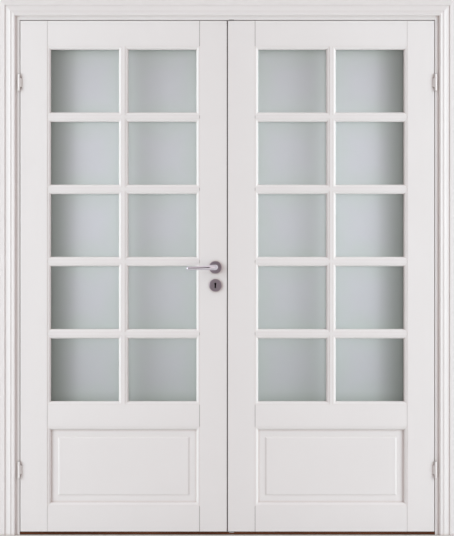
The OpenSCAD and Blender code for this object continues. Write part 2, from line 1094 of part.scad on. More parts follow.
// A skin over a row of rings with as many points each, closed flat at both ends
module skin(rings) {
    n = len(rings[0]);
    rows = len(rings);
    near = [for (i = [0:rows - 2]) for (j = [0:n - 1]) [i * n + j, (i + 1) * n + j, i * n + (j + 1) % n]];
    far = [for (i = [0:rows - 2]) for (j = [0:n - 1])
        [(i + 1) * n + j, (i + 1) * n + (j + 1) % n, i * n + (j + 1) % n]];
    first = [for (j = [0:n - 1]) j];
    last = [for (j = [0:n - 1]) rows * n - 1 - j];
    polyhedron([for (ring = rings) each ring], concat(near, far, [first, last]));
}

function between(start, end, share) = start + (end - start) * share;

// How far the lever has drooped at a length along it from the start of its bend
function lever_droop(l) = lever_drop * sin(90 * l / (lever_bend_l + lever_arm_l));

// A ring of the lever, at right angles to its middle line where that has turned from the neck to the arm
function lever_ring(x, z, l, turn, h, t) = [for (j = [0:lever_fn - 1])
    let (around = 360 * j / lever_fn, out = t / 2 * cos(around))
    [x + out * cos(turn), h / 2 * sin(around) - lever_droop(l), z + out * sin(turn)]];

function lever_collar_rings() = [for (i = [0:lever_collar_steps - 1])
    let (share = i / lever_collar_steps, d = between(lever_collar_d, lever_head_d, sin(90 * share)))
    lever_ring(0, between(lever_collar_z, lever_bend_z, share), 0, 0, d, d)];

function lever_bend_rings() = [for (i = [0:lever_bend_steps - 1])
    let (share = i / lever_bend_steps, turn = 90 * share)
    lever_ring(-lever_bend_r * (1 - cos(turn)), lever_bend_z + lever_bend_r * sin(turn), share * lever_bend_l,
        turn, between(lever_head_d, lever_arm_shares[0][1] * lever_head_d, share),
        between(lever_t, lever_head_d, pow(1 - share, 2)))];

function lever_arm_rings() = [for (row = lever_arm_shares)
    lever_ring(-lever_bend_r - row[0] * lever_arm_l, lever_arm_z - lever_back * pow(row[0], 2),
        lever_bend_l + row[0] * lever_arm_l, 90, row[1] * lever_head_d, row[2] * lever_t)];

// A lever: a round neck through the rose, then one bar that widens, bends and tapers to its tip
module lever() {
    difference() {
        union() {
            cylinder(d = lever_neck_d, h = lever_collar_z + over);
            skin(concat(lever_collar_rings(), lever_bend_rings(), lever_arm_rings()));
        }
        block([-spindle_w / 2, -spindle_w / 2, -over], [spindle_w / 2, spindle_w / 2, spindle_in]);
    }
}

module front_lever() {
    color(satin_metal)
        on_front(spindle_up)
            lever();
}

module back_lever() {
    color(satin_metal)
        on_back(spindle_up)
            lever();
}

module spindle() {
    color(steel)
        on_active_leaf()
            block([spindle_u - spindle_w / 2, front_y - spindle_in, spindle_up - spindle_w / 2],
                [spindle_u + spindle_w / 2, back_y + spindle_in, spindle_up + spindle_w / 2]);
}

module lock_follower() {
    color(steel)
        on_active_leaf()
            translate([spindle_u, -case_t / 2, spindle_up])
                rotate([-90, 0, 0])
                    difference() {
                        cylinder(d = follower_d, h = case_t);
                        block([-spindle_w / 2, -spindle_w / 2, -over],
                            [spindle_w / 2, spindle_w / 2, case_t + over]);
                    }
}

// Strike, seal and flush bolts on the passive leaf

// Drawn for the upper bolt; the lower one is its mirror image about the middle of the leaf
module flush_end(end) {
    translate([0, 0, end * leaf_h])
        mirror([0, 0, end])
            translate([0, 0, leaf_h])
                children();
}

module flush_pocket() {
    rod_low = -flush_plate_mid;
    block([flush_u - flush_pocket_w / 2, -flush_pocket_w / 2, rod_low - flush_pocket_h / 2],
        [leaf_w - flush_plate_t, flush_pocket_w / 2, rod_low + flush_pocket_h / 2]);
    translate([flush_u, 0, rod_low])
        cylinder(d = flush_rod_d + 2 * flush_clear, h = flush_plate_mid + over);
}

module flush_plate_body(extra) {
    block([leaf_w - flush_plate_t, -flush_plate_w / 2, -flush_plate_inset - flush_plate_h],
        [leaf_w + extra, flush_plate_w / 2, -flush_plate_inset]);
}

module meeting_stile() {
    color(paint)
        difference() {
            meeting_stile_blank();
            edge_bar(lock_mid_z, strike_w, strike_h, strike_t, 0);
            edge_bar(spindle_up, latch_w + 4 * strike_clear, latch_h + 4 * strike_clear, strike_pocket_d, 0);
            edge_bar(key_z, latch_w + 4 * strike_clear, dead_h + 4 * strike_clear, strike_pocket_d, 0);
            for (end = [0, 1])
                flush_end(end) {
                    flush_pocket();
                    flush_plate_body(over);
                }
            block([leaf_w - meeting_seal_d, meeting_seal_y, -over],
                [leaf_w + over, meeting_seal_y + meeting_seal_w, leaf_h + over]);
        }
}

module strike_plate() {
    color(satin_metal)
        on_passive_leaf()
            difference() {
                edge_bar(lock_mid_z, strike_w, strike_h, strike_t, 0);
                edge_bar(spindle_up, latch_w + 2 * strike_clear, latch_h + 2 * strike_clear,
                    strike_pocket_d, -over);
                edge_bar(key_z, latch_w + 2 * strike_clear, dead_h + 2 * strike_clear,
                    strike_pocket_d, -over);
            }
}

module meeting_seal() {
    color(seal_black)
        on_passive_leaf()
            block([leaf_w - meeting_seal_d, meeting_seal_y, 0],
                [leaf_w + meeting_seal_proud, meeting_seal_y + meeting_seal_w, leaf_h]);
}

// The slot in a flush plate lets the thumb piece travel with its bolt
module flush_bolt_plates() {
    color(satin_metal)
        on_passive_leaf()
            for (end = [0, 1])
                flush_end(end)
                    difference() {
                        flush_plate_body(0);
                        block([leaf_w - flush_plate_t - over, -thumb_w / 2 - flush_clear,
                                -flush_plate_mid - flush_clear],
                            [leaf_w + over, thumb_w / 2 + flush_clear,
                                -flush_plate_mid + thumb_h + flush_throw + flush_clear]);
                    }
}

module flush_bolt() {
    translate([flush_u, 0, -flush_plate_mid])
        cylinder(d = flush_rod_d, h = flush_plate_mid - flush_back);
    block([flush_u, -thumb_w / 2, -flush_plate_mid],
        [leaf_w - thumb_back, thumb_w / 2, -flush_plate_mid + thumb_h]);
}

module upper_flush_bolt() {
    color(steel)
        on_passive_leaf()
            flush_end(0)
                flush_bolt();
}

module lower_flush_bolt() {
    color(steel)
        on_passive_leaf()
            flush_end(1)
                flush_bolt();
}

// The two leaves, piece by piece

module active_hinge_stile() {
    on_active_leaf()
        hinge_stile();
}

module active_lock_stile() {
    on_active_leaf()
        lock_stile();
}

module active_top_rail() {
    on_active_leaf()
        top_rail();
}

module active_mid_rail() {
    on_active_leaf()
        mid_rail();
}

module active_bottom_rail() {
    on_active_leaf()
        bottom_rail();
}

module active_dowels() {
    on_active_leaf()
        dowels();
}

module active_cross_bars() {
    on_active_leaf()
        cross_bars();
}

module active_upright_bars() {
    on_active_leaf()
        upright_bars();
}

module active_glass() {
    on_active_leaf()
        glass();
}

module active_beads() {
    on_active_leaf()
        beads();
}

module active_panel() {
    on_active_leaf()
        panel();
}

module passive_hinge_stile() {
    on_passive_leaf()
        hinge_stile();
}

module passive_meeting_stile() {
    on_passive_leaf()
        meeting_stile();
}

module passive_top_rail() {
    on_passive_leaf()
        top_rail();
}

module passive_mid_rail() {
    on_passive_leaf()
        mid_rail();
}

module passive_bottom_rail() {
    on_passive_leaf()
        bottom_rail();
}

module passive_dowels() {
    on_passive_leaf()
        dowels();
}

module passive_cross_bars() {
    on_passive_leaf()
        cross_bars();
}

module passive_upright_bars() {
    on_passive_leaf()
        upright_bars();
}

module passive_glass() {
    on_passive_leaf()
        glass();
}

module passive_beads() {
    on_passive_leaf()
        beads();
}

module passive_panel() {
    on_passive_leaf()
        panel();
}

left_jamb();
right_jamb();
head_jamb();
threshold();
left_casing();
right_casing();
head_casing();
frame_seals();
bolt_keepers();
fixing_sleeves();
left_upper_hinge_frame_half();
left_lower_hinge_frame_half();
right_upper_hinge_frame_half();
right_lower_hinge_frame_half();
hinge_pins();
active_hinge_stile();
active_lock_stile();
active_top_rail();
active_mid_rail();
active_bottom_rail();
active_dowels();
active_cross_bars();
active_upright_bars();
active_glass();
active_beads();
active_panel();
left_upper_hinge_leaf_half();
left_lower_hinge_leaf_half();
lock_case();
lock_faceplate();
front_lever_rose();
back_lever_rose();
front_key_rose();
back_key_rose();
front_lever();
back_lever();
spindle();
lock_follower();
latch_bolt();
dead_bolt();
passive_hinge_stile();
passive_meeting_stile();
passive_top_rail();
passive_mid_rail();
passive_bottom_rail();
passive_dowels();
passive_cross_bars();
passive_upright_bars();
passive_glass();
passive_beads();
passive_panel();
right_upper_hinge_leaf_half();
right_lower_hinge_leaf_half();
strike_plate();
flush_bolt_plates();
meeting_seal();
upper_flush_bolt();
lower_flush_bolt();
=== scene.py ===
import json
import math

import bmesh
import bpy
from mathutils import Matrix, Vector

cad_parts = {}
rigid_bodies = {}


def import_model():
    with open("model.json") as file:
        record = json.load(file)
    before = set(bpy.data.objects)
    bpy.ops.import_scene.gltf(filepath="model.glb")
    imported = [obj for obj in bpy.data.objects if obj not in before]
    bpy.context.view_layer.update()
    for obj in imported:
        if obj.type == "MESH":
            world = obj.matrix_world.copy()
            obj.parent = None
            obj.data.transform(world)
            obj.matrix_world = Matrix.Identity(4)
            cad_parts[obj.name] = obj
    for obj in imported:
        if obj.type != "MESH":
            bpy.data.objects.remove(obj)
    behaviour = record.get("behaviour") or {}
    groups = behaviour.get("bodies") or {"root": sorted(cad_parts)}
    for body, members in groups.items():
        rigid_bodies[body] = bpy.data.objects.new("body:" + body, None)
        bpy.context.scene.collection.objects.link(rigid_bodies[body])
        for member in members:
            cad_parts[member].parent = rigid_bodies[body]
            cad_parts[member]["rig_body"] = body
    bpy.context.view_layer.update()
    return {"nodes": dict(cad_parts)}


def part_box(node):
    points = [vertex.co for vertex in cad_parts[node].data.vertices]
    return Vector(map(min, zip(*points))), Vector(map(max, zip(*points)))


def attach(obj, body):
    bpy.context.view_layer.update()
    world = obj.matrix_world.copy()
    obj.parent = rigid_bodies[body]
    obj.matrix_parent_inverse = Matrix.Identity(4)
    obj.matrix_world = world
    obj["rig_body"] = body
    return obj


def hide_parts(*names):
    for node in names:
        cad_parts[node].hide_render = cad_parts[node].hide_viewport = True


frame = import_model()
nodes = frame["nodes"]


# Frame joinery
# Jambs, head and moulded casing are softwood, primed and sprayed with satin white paint.
# The film has a faint orange peel and drifts a little in tone. Painted shade greys its recesses, least in
# level ones, which the side light leaves less in shade.

PAINT_WHITE = (0.850, 0.838, 0.836)
PAINT_SHADE = (0.818, 0.806, 0.802)
# Colours of the painted shade in the recesses, deeper on upright pieces than on level ones
UPRIGHT_PAINTED_SHADE = (0.540, 0.430, 0.385)
LEVEL_PAINTED_SHADE = (0.760, 0.720, 0.700)
PAINT_ROUGHNESS = 0.34
PAINT_PEEL_DEPTH = 0.00010
# Reach and samples of the ambient occlusion that places the painted recess shade
SHADE_REACH = 0.010
SHADE_SAMPLES = 6
DRIFT = {"Scale": 2.3, "Detail": 3.0, "Roughness": 0.55}
DRIFT_ROUGHENS = 0.12
PEEL = {"Scale": 420.0, "Detail": 2.0, "Roughness": 0.5}
BUMP_STRENGTH = 0.6
# The colour sockets of a Mix node share their names with its other kinds, so they go by number
MIX_FIRST, MIX_SECOND, MIX_RESULT = 6, 7, 2


def add_node(tree, kind, **values):
    """Adds a shader node and sets its inputs, or its own properties, by name."""
    made = tree.nodes.new(kind)
    for key, value in values.items():
        name = key.replace("_", " ")
        if name in made.inputs:
            made.inputs[name].default_value = value
        else:
            setattr(made, key, value)
    return made


def new_material(name, **values):
    """A material with one Principled shader, whose plain values are set on its own sockets."""
    made = bpy.data.materials.new(name)
    made.use_nodes = True
    shader = made.node_tree.nodes["Principled BSDF"]
    for key, value in values.items():
        shader.inputs[key.replace("_", " ")].default_value = value
    return made, made.node_tree, shader


def new_group(name, inputs):
    """An empty shader group with named inputs, which gives a colour, a roughness and a height."""
    tree = bpy.data.node_groups.new(name, "ShaderNodeTree")
    for socket, kind in inputs:
        tree.interface.new_socket(name=socket, in_out="INPUT", socket_type="NodeSocket" + kind)
    for socket, kind in (("Color", "Color"), ("Roughness", "Float"), ("Height", "Float")):
        tree.interface.new_socket(name=socket, in_out="OUTPUT", socket_type="NodeSocket" + kind)
    return tree, tree.nodes.new("NodeGroupInput"), tree.nodes.new("NodeGroupOutput")


def opaque(colour):
    return (*colour, 1.0)


def blend_colours(tree, share, first, second):
    """Mixes two colours, each fixed or an output, by a share between 0 and 1."""
    mix = add_node(tree, "ShaderNodeMix", data_type="RGBA")
    tree.links.new(share, mix.inputs["Factor"])
    for at, colour in ((MIX_FIRST, first), (MIX_SECOND, second)):
        if isinstance(colour, tuple):
            mix.inputs[at].default_value = opaque(colour)
        else:
            tree.links.new(colour, mix.inputs[at])
    return mix.outputs[MIX_RESULT]


def scale_and_add(tree, value, factor, base):
    """value times a fixed factor, plus another output or number."""
    made = add_node(tree, "ShaderNodeMath", operation="MULTIPLY_ADD")
    made.inputs[1].default_value = factor
    tree.links.new(value, made.inputs[0])
    if isinstance(base, (int, float)):
        made.inputs[2].default_value = base
    else:
        tree.links.new(base, made.inputs[2])
    return made.outputs[0]


def noise(tree, place, values):
    """A noise texture over places in space."""
    made = add_node(tree, "ShaderNodeTexNoise", **values)
    tree.links.new(place, made.inputs["Vector"])
    return made.outputs["Fac"]


def sprayed_film():
    """Tone that drifts over a large piece, painted shade in the recesses, and the peel of a sprayed coat."""
    tree, given, out = new_group("sprayed_film", [("Light", "Color"), ("Dark", "Color"), ("Recess", "Color"),
                                                  ("Roughness", "Float")])
    link = tree.links.new
    place = add_node(tree, "ShaderNodeTexCoord").outputs["Object"]
    drift = noise(tree, place, DRIFT)
    tone = blend_colours(tree, drift, given.outputs["Dark"], given.outputs["Light"])
    # Painted shade: ambient occlusion blends the tone towards the recess colour
    unshaded_share = add_node(tree, "ShaderNodeAmbientOcclusion", Distance=SHADE_REACH, samples=SHADE_SAMPLES)
    link(blend_colours(tree, unshaded_share.outputs["AO"], given.outputs["Recess"], tone), out.inputs["Color"])
    link(scale_and_add(tree, drift, DRIFT_ROUGHENS, given.outputs["Roughness"]), out.inputs["Roughness"])
    link(noise(tree, place, PEEL), out.inputs["Height"])
    return tree


FILM = sprayed_film()


def bumped(tree, shader, height, distance):
    """Lets a height stand out of the surface by a real distance."""
    bump = add_node(tree, "ShaderNodeBump", Strength=BUMP_STRENGTH, Distance=distance)
    tree.links.new(height, bump.inputs["Height"])
    tree.links.new(bump.outputs["Normal"], shader.inputs["Normal"])


def surface(name, group, depth, plain, **values):
    """A material whose colour, roughness and height come from one use of a group, and the rest from plain."""
    made, tree, shader = new_material(name, **plain)
    look = tree.nodes.new("ShaderNodeGroup")
    look.node_tree = group
    for key, value in values.items():
        look.inputs[key].default_value = value
    tree.links.new(look.outputs["Color"], shader.inputs["Base Color"])
    tree.links.new(look.outputs["Roughness"], shader.inputs["Roughness"])
    bumped(tree, shader, look.outputs["Height"], depth)
    return made


def film_material(name, light, dark, recess, roughness, depth):
    """A sprayed or stoved coat, with painted shade in its recesses."""
    return surface(name, FILM, depth, {}, Light=opaque(light), Dark=opaque(dark), Recess=opaque(recess),
                   Roughness=roughness)


def white_paint(name, recess):
    """The satin white of all the joinery, with a painted shade in its recesses."""
    return film_material(name, PAINT_WHITE, PAINT_SHADE, recess, PAINT_ROUGHNESS, PAINT_PEEL_DEPTH)


def dress(names, material):
    """Gives CAD nodes one material."""
    for name in names:
        nodes[name].data.materials.clear()
        nodes[name].data.materials.append(material)


# Two copies of one paint that differ only in their painted recess shade, deeper on uprights than on level
# pieces
upright_paint = white_paint("upright_satin_white", UPRIGHT_PAINTED_SHADE)
level_paint = white_paint("level_satin_white", LEVEL_PAINTED_SHADE)
SIDES = ("left", "right")
BOARDS = ("jamb", "casing")
dress([side + "_" + board for side in SIDES for board in BOARDS], upright_paint)
dress(["head_" + board for board in BOARDS], level_paint)


# Threshold
# A strip of oiled hardwood across the foot of the frame, its grain running along it.

THRESHOLD_LIGHT = (0.165, 0.058, 0.026)
THRESHOLD_DARK = (0.070, 0.022, 0.010)
THRESHOLD_STRETCH = (5.0, 90.0, 90.0)
THRESHOLD_ROUGHNESS = 0.35
WOOD_SPECULAR = 0.15
GRAIN_DEPTH = 0.0002
BANDS = {"Scale": 1.0, "Detail": 4.0, "Roughness": 0.6, "Distortion": 0.7}
BAND_CONTRAST, BAND_START = 2.2, -0.6
PORES = {"Scale": 14.0, "Detail": 3.0, "Roughness": 0.7}
PORE_CONTRAST = 0.9
PORES_ROUGHEN = 0.2


def stretched(tree, stretch):
    """Places scaled along each axis, so that a texture is drawn out along the one that is scaled least."""
    made = add_node(tree, "ShaderNodeVectorMath", operation="MULTIPLY")
    tree.links.new(add_node(tree, "ShaderNodeTexCoord").outputs["Object"], made.inputs[0])
    tree.links.new(stretch, made.inputs[1])
    return made.outputs[0]


def wood_grain():
    """Long fibres with darker pores and slow bands of colour."""
    tree, given, out = new_group("wood_grain", [("Light", "Color"), ("Dark", "Color"), ("Stretch", "Vector"),
                                                ("Roughness", "Float")])
    link = tree.links.new
    along = stretched(tree, given.outputs["Stretch"])
    pores = noise(tree, along, PORES)
    share = add_node(tree, "ShaderNodeMath", operation="ADD", use_clamp=True)
    link(scale_and_add(tree, noise(tree, along, BANDS), BAND_CONTRAST, BAND_START), share.inputs[0])
    link(scale_and_add(tree, pores, PORE_CONTRAST, -PORE_CONTRAST / 2), share.inputs[1])
    tone = blend_colours(tree, share.outputs[0], given.outputs["Dark"], given.outputs["Light"])
    link(tone, out.inputs["Color"])
    link(scale_and_add(tree, pores, PORES_ROUGHEN, given.outputs["Roughness"]), out.inputs["Roughness"])
    link(share.outputs[0], out.inputs["Height"])
    return tree


GRAIN = wood_grain()


def wood_material(name, light, dark, stretch, roughness):
    return surface(name, GRAIN, GRAIN_DEPTH, {"Specular_IOR_Level": WOOD_SPECULAR}, Light=opaque(light),
                   Dark=opaque(dark), Stretch=stretch, Roughness=roughness)


dress(["threshold"], wood_material("oiled_hardwood", THRESHOLD_LIGHT, THRESHOLD_DARK, THRESHOLD_STRETCH,
                                   THRESHOLD_ROUGHNESS))


# Seals
# Extruded dark rubber, pressed by a tang into the stop of the frame and into the edge of the passive leaf.
# The one between the leaves has a soft bulb that nearly fills their gap.

RUBBER_DARK = (0.110, 0.107, 0.105)
RUBBER_WORN = (0.135, 0.132, 0.129)
# Colour of the painted shade in the rubber's recesses
RUBBER_PAINTED_SHADE = (0.080, 0.078, 0.076)
RUBBER_ROUGHNESS = 0.6
RUBBER_DEPTH = 0.00008
BULB_REACH = 0.0037
TANG_REACH = 0.0040
TANG_HALF = 0.0010
BULB_STEPS = 14
seal_rubber = film_material("seal_rubber", RUBBER_WORN, RUBBER_DARK, RUBBER_PAINTED_SHADE, RUBBER_ROUGHNESS,
                            RUBBER_DEPTH)
dress(["frame_seals"], seal_rubber)


def new_piece(name, mesh, material, body):
    """A new piece from a mesh, riding on a body of the frame."""
    data = bpy.data.meshes.new(name)
    mesh.to_mesh(data)
    mesh.free()
    data.materials.append(material)
    made = bpy.data.objects.new(name, data)
    bpy.context.scene.collection.objects.link(made)
    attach(made, body)
    return made


def skin(mesh, first, second):
    """Joins two closed rows of vertices by a band of faces."""
    count = len(first)
    for i in range(count):
        j = (i + 1) % count
        mesh.faces.new((first[i], first[j], second[j], second[i]))


def loft(mesh, rings):
    """Skins a row of closed rings and caps both ends."""
    rows = [[mesh.verts.new(point) for point in ring] for ring in rings]
    for first, second in zip(rows, rows[1:]):
        skin(mesh, first, second)
    mesh.faces.new(rows[0][::-1])
    mesh.faces.new(rows[-1])
    bmesh.ops.recalc_face_normals(mesh, faces=mesh.faces)


def bulb_seal():
    """The seal on the edge of the passive leaf: a tang in its groove and a bulb towards the active leaf."""
    low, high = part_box("meeting_seal")
    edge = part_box("passive_meeting_stile")[0].x
    middle = (low.y + high.y) / 2
    outline = []
    for i in range(BULB_STEPS + 1):
        turn = math.pi * i / BULB_STEPS
        outline.append((edge - BULB_REACH * math.sin(turn), middle + (high.y - low.y) / 2 * math.cos(turn)))
    outline += [(edge, middle - TANG_HALF), (edge + TANG_REACH, middle - TANG_HALF),
                (edge + TANG_REACH, middle + TANG_HALF), (edge, middle + TANG_HALF)]
    mesh = bmesh.new()
    loft(mesh, [[Vector((x, y, z)) for x, y in outline] for z in (low.z, high.z)])
    seal = new_piece("meeting_seal_bulb", mesh, seal_rubber, "passive_leaf")
    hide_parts("meeting_seal")


bulb_seal()


# Fixing sleeves
# Grey moulded nylon tubes through the jambs, for the screws that hold the frame in its opening.

NYLON_LIGHT = (0.34, 0.34, 0.35)
NYLON_DARK = (0.28, 0.28, 0.29)
# Colour of the painted shade in the nylon's recesses
NYLON_PAINTED_SHADE = (0.20, 0.20, 0.20)
NYLON_ROUGHNESS = 0.4
NYLON_DEPTH = 0.00006
dress(["fixing_sleeves"],
      film_material("sleeve_nylon", NYLON_LIGHT, NYLON_DARK, NYLON_PAINTED_SHADE, NYLON_ROUGHNESS, NYLON_DEPTH))


# Leaf joinery
# Stiles, rails, bars, beads and raised panel, sprayed with the same paint. A dark hairline is painted where
# rails and cross bars meet the stiles, for the paint's open joint and the shadow in it, widest at the meeting
# side, where the side light leaves it in deepest shade. The dowels inside stay bare beech.

STILE_FACE = 0.1080
# Colour of the painted hairline for the open joint and its shadow, and its widths at the meeting and the
# hinge ends
JOINT_GAP_AND_SHADOW = (0.110, 0.090, 0.085)
JOINT_GAP_SHADOW_IN = 0.0026
JOINT_GAP_SHADOW_OUT = 0.0009
BEECH_LIGHT = (0.62, 0.43, 0.28)
BEECH_DARK = (0.50, 0.33, 0.20)
BEECH_STRETCH = (8.0, 120.0, 120.0)
BEECH_ROUGHNESS = 0.6
leaf_in, leaf_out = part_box("passive_meeting_stile")[0].x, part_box("passive_hinge_stile")[1].x


def span(tree, value, start, end):
    """Where a length lies between two ends, as a share."""
    made = add_node(tree, "ShaderNodeMapRange", From_Min=start, From_Max=end)
    tree.links.new(value, made.inputs["Value"])
    return made.outputs["Result"]


def place_on_doors(tree):
    """A point's place, how far it lies from the middle of the doorway, and its height."""
    place = add_node(tree, "ShaderNodeTexCoord").outputs["Object"]
    parts = add_node(tree, "ShaderNodeSeparateXYZ")
    tree.links.new(place, parts.inputs[0])
    out = add_node(tree, "ShaderNodeMath", operation="ABSOLUTE")
    tree.links.new(parts.outputs["X"], out.inputs[0])
    return place, out.outputs[0], parts.outputs["Z"]


def jointed_shadowed_paint():
    """The paint of rails and cross bars, with a painted dark line at both ends for the open joint and its
    shadow.
    """
    made = white_paint("rail_satin_white", LEVEL_PAINTED_SHADE)
    tree = made.node_tree
    colour = tree.nodes["Principled BSDF"].inputs["Base Color"]
    film = colour.links[0].from_socket
    out = place_on_doors(tree)[1]
    start, end = leaf_in + STILE_FACE, leaf_out - STILE_FACE
    # Painted joint shadow: the dark colour covers the rail within these widths of the stiles' faces
    closed = add_node(tree, "ShaderNodeMath", operation="MULTIPLY")
    tree.links.new(span(tree, out, start, start + JOINT_GAP_SHADOW_IN), closed.inputs[0])
    tree.links.new(span(tree, out, end, end - JOINT_GAP_SHADOW_OUT), closed.inputs[1])
    tree.links.new(blend_colours(tree, closed.outputs[0], JOINT_GAP_AND_SHADOW, film), colour)
    return made


rail_paint = jointed_shadowed_paint()
LEAVES = {"active": ("hinge_stile", "lock_stile"), "passive": ("hinge_stile", "meeting_stile")}
for leaf, stiles in LEAVES.items():
    dress([leaf + "_" + piece for piece in (*stiles, "upright_bars", "beads", "panel")], upright_paint)
    dress([leaf + "_" + piece for piece in ("top_rail", "mid_rail", "bottom_rail", "cross_bars")], rail_paint)
bare_beech = wood_material("bare_beech", BEECH_LIGHT, BEECH_DARK, BEECH_STRETCH, BEECH_ROUGHNESS)
dress([leaf + "_dowels" for leaf in LEAVES], bare_beech)


# Panes
# Ten panes of 4 mm satin-etched glass in each leaf, which scatter what lies behind. The glass is pale in the
# middle of a leaf and greenest along the edges of each pane; a painted shade dims it towards the hinge side,
# head and foot.

GLASS_PALE = (0.870, 0.940, 1.000)
GLASS_GREEN = (0.824, 0.940, 0.935)
GLASS_IOR = 1.5
GLASS_TRANSMISSION = 0.9
PANES_ACROSS, PANES_UP = 2, 5
# The green fades out between these distances from the edge of a pane
GREEN_FADE = (0.012, 0.105)
CLOUD = {"Scale": 14.0, "Detail": 3.0, "Roughness": 0.5}
CLOUD_SHARE = 0.9
ETCH = {"Scale": 900.0, "Detail": 2.0, "Roughness": 0.6}
ETCH_ROUGHNESS = 0.5
ETCH_ROUGHENS = 0.15
ETCH_DEPTH = 0.00003
# Painted shade on the glass, as the share of its light that is kept, at shares of the way from the hinge side
# to the meeting side
PAINTED_SHADE_ACROSS = ((0.0, 0.35), (0.08, 0.44), (0.165, 0.78), (0.22, 0.93), (0.29, 0.965), (0.44, 1.0),
               (0.53, 0.98), (0.60, 0.75), (0.68, 0.78), (0.80, 0.91), (1.0, 0.92))
# The same from the foot of the glass to its head
PAINTED_SHADE_UP = ((0.0, 0.62), (0.035, 0.82), (0.22, 0.90), (0.5, 1.0), (0.8, 0.98), (0.97, 0.90), (1.0, 0.68))
# What the painted shade takes from the blue where it is darkest
SHADE_SMOKE = 0.08
glass_low, glass_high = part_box("passive_glass")


def ramp(tree, value, stops):
    """A smooth curve of painted shade through a few tones, the dim ones a little smoky."""
    made = tree.nodes.new("ShaderNodeValToRGB")
    made.color_ramp.interpolation = "B_SPLINE"
    elements = made.color_ramp.elements
    while len(elements) < len(stops):
        elements.new(0.5)
    for element, (place, tone) in zip(elements, stops):
        element.position = place
        element.color = opaque((tone, tone, tone * (1 - SHADE_SMOKE * (1 - tone))))
    tree.links.new(value, made.inputs["Fac"])
    return made.outputs["Color"]


def to_nearest(tree, value, start, end, count):
    """How far a length lies from the nearest of the lines that part a span into equal panes."""
    along = add_node(tree, "ShaderNodeMath", operation="SUBTRACT")
    tree.links.new(value, along.inputs[0])
    along.inputs[1].default_value = start
    made = add_node(tree, "ShaderNodeMath", operation="PINGPONG")
    tree.links.new(along.outputs[0], made.inputs[0])
    made.inputs[1].default_value = (end - start) / count / 2
    return made.outputs[0]


def times(tree, first, second):
    """Two colours multiplied."""
    made = add_node(tree, "ShaderNodeMix", data_type="RGBA", blend_type="MULTIPLY")
    made.inputs["Factor"].default_value = 1.0
    tree.links.new(first, made.inputs[MIX_FIRST])
    tree.links.new(second, made.inputs[MIX_SECOND])
    return made.outputs[MIX_RESULT]


def etched_glass():
    """Glass with a fine etched grain, its painted shade and tint set by where it lies in the leaf and the
    pane.
    """
    made, tree, shader = new_material("satin_etched_glass", IOR=GLASS_IOR,
                                      Transmission_Weight=GLASS_TRANSMISSION)
    link = tree.links.new
    place, out, up = place_on_doors(tree)
    # Painted shade: darker towards the hinge side, head and foot of the glass
    glass_shade = times(tree, ramp(tree, span(tree, out, glass_high.x, glass_low.x), PAINTED_SHADE_ACROSS),
                 ramp(tree, span(tree, up, glass_low.z, glass_high.z), PAINTED_SHADE_UP))
    from_edge = add_node(tree, "ShaderNodeMath", operation="MINIMUM")
    link(to_nearest(tree, out, glass_low.x, glass_high.x, PANES_ACROSS), from_edge.inputs[0])
    link(to_nearest(tree, up, glass_low.z, glass_high.z, PANES_UP), from_edge.inputs[1])
    paleness = add_node(tree, "ShaderNodeMath", operation="ADD", use_clamp=True)
    link(span(tree, from_edge.outputs[0], *GREEN_FADE), paleness.inputs[0])
    link(scale_and_add(tree, noise(tree, place, CLOUD), CLOUD_SHARE, -CLOUD_SHARE / 2), paleness.inputs[1])
    tint = blend_colours(tree, paleness.outputs[0], GLASS_GREEN, GLASS_PALE)
    link(times(tree, glass_shade, tint), shader.inputs["Base Color"])
    etch = noise(tree, place, ETCH)
    link(scale_and_add(tree, etch, ETCH_ROUGHENS, ETCH_ROUGHNESS), shader.inputs["Roughness"])
    bumped(tree, shader, etch, ETCH_DEPTH)
    return made


dress([leaf + "_glass" for leaf in LEAVES], etched_glass())


# Hinges
# Pressed steel hinges, stove-enamelled white, with zinc-plated pins.

ENAMEL_LIGHT = (0.84, 0.83, 0.82)
ENAMEL_DARK = (0.81, 0.80, 0.79)
# Colour of the painted shade in the enamel's recesses
ENAMEL_PAINTED_SHADE = (0.55, 0.50, 0.48)
ENAMEL_ROUGHNESS = 0.24
ENAMEL_DEPTH = 0.00004
ZINC_LIGHT = (0.60, 0.60, 0.60)
ZINC_DARK = (0.46, 0.46, 0.46)
ZINC_ROUGHNESS = 0.28
SCRATCH = {"Scale": 1.0, "Detail": 4.0, "Roughness": 0.65}
SCRATCHES_ROUGHEN = 0.12
SCRATCH_DEPTH = 0.00001
SMEAR = {"Scale": 45.0, "Detail": 2.0, "Roughness": 0.5}
SMEARS_ROUGHEN = 0.10
SCRATCHED_ALONG_X = (30.0, 1100.0, 1100.0)
SCRATCHED_ALONG_Z = (1100.0, 1100.0, 30.0)

dress([name for name in nodes if "hinge_frame_half" in name or "hinge_leaf_half" in name],
      film_material("hinge_enamel", ENAMEL_LIGHT, ENAMEL_DARK, ENAMEL_PAINTED_SHADE, ENAMEL_ROUGHNESS, ENAMEL_DEPTH))


def brushed_metal():
    """Fine parallel scratches, drawn out along one axis, and smears."""
    tree, given, out = new_group("brushed_metal", [("Light", "Color"), ("Dark", "Color"),
                                                   ("Stretch", "Vector"), ("Roughness", "Float")])
    link = tree.links.new
    scratch = noise(tree, stretched(tree, given.outputs["Stretch"]), SCRATCH)
    smear = noise(tree, add_node(tree, "ShaderNodeTexCoord").outputs["Object"], SMEAR)
    link(blend_colours(tree, scratch, given.outputs["Dark"], given.outputs["Light"]), out.inputs["Color"])
    worn = scale_and_add(tree, smear, SMEARS_ROUGHEN, given.outputs["Roughness"])
    link(scale_and_add(tree, scratch, SCRATCHES_ROUGHEN, worn), out.inputs["Roughness"])
    link(scratch, out.inputs["Height"])
    return tree


BRUSHED = brushed_metal()


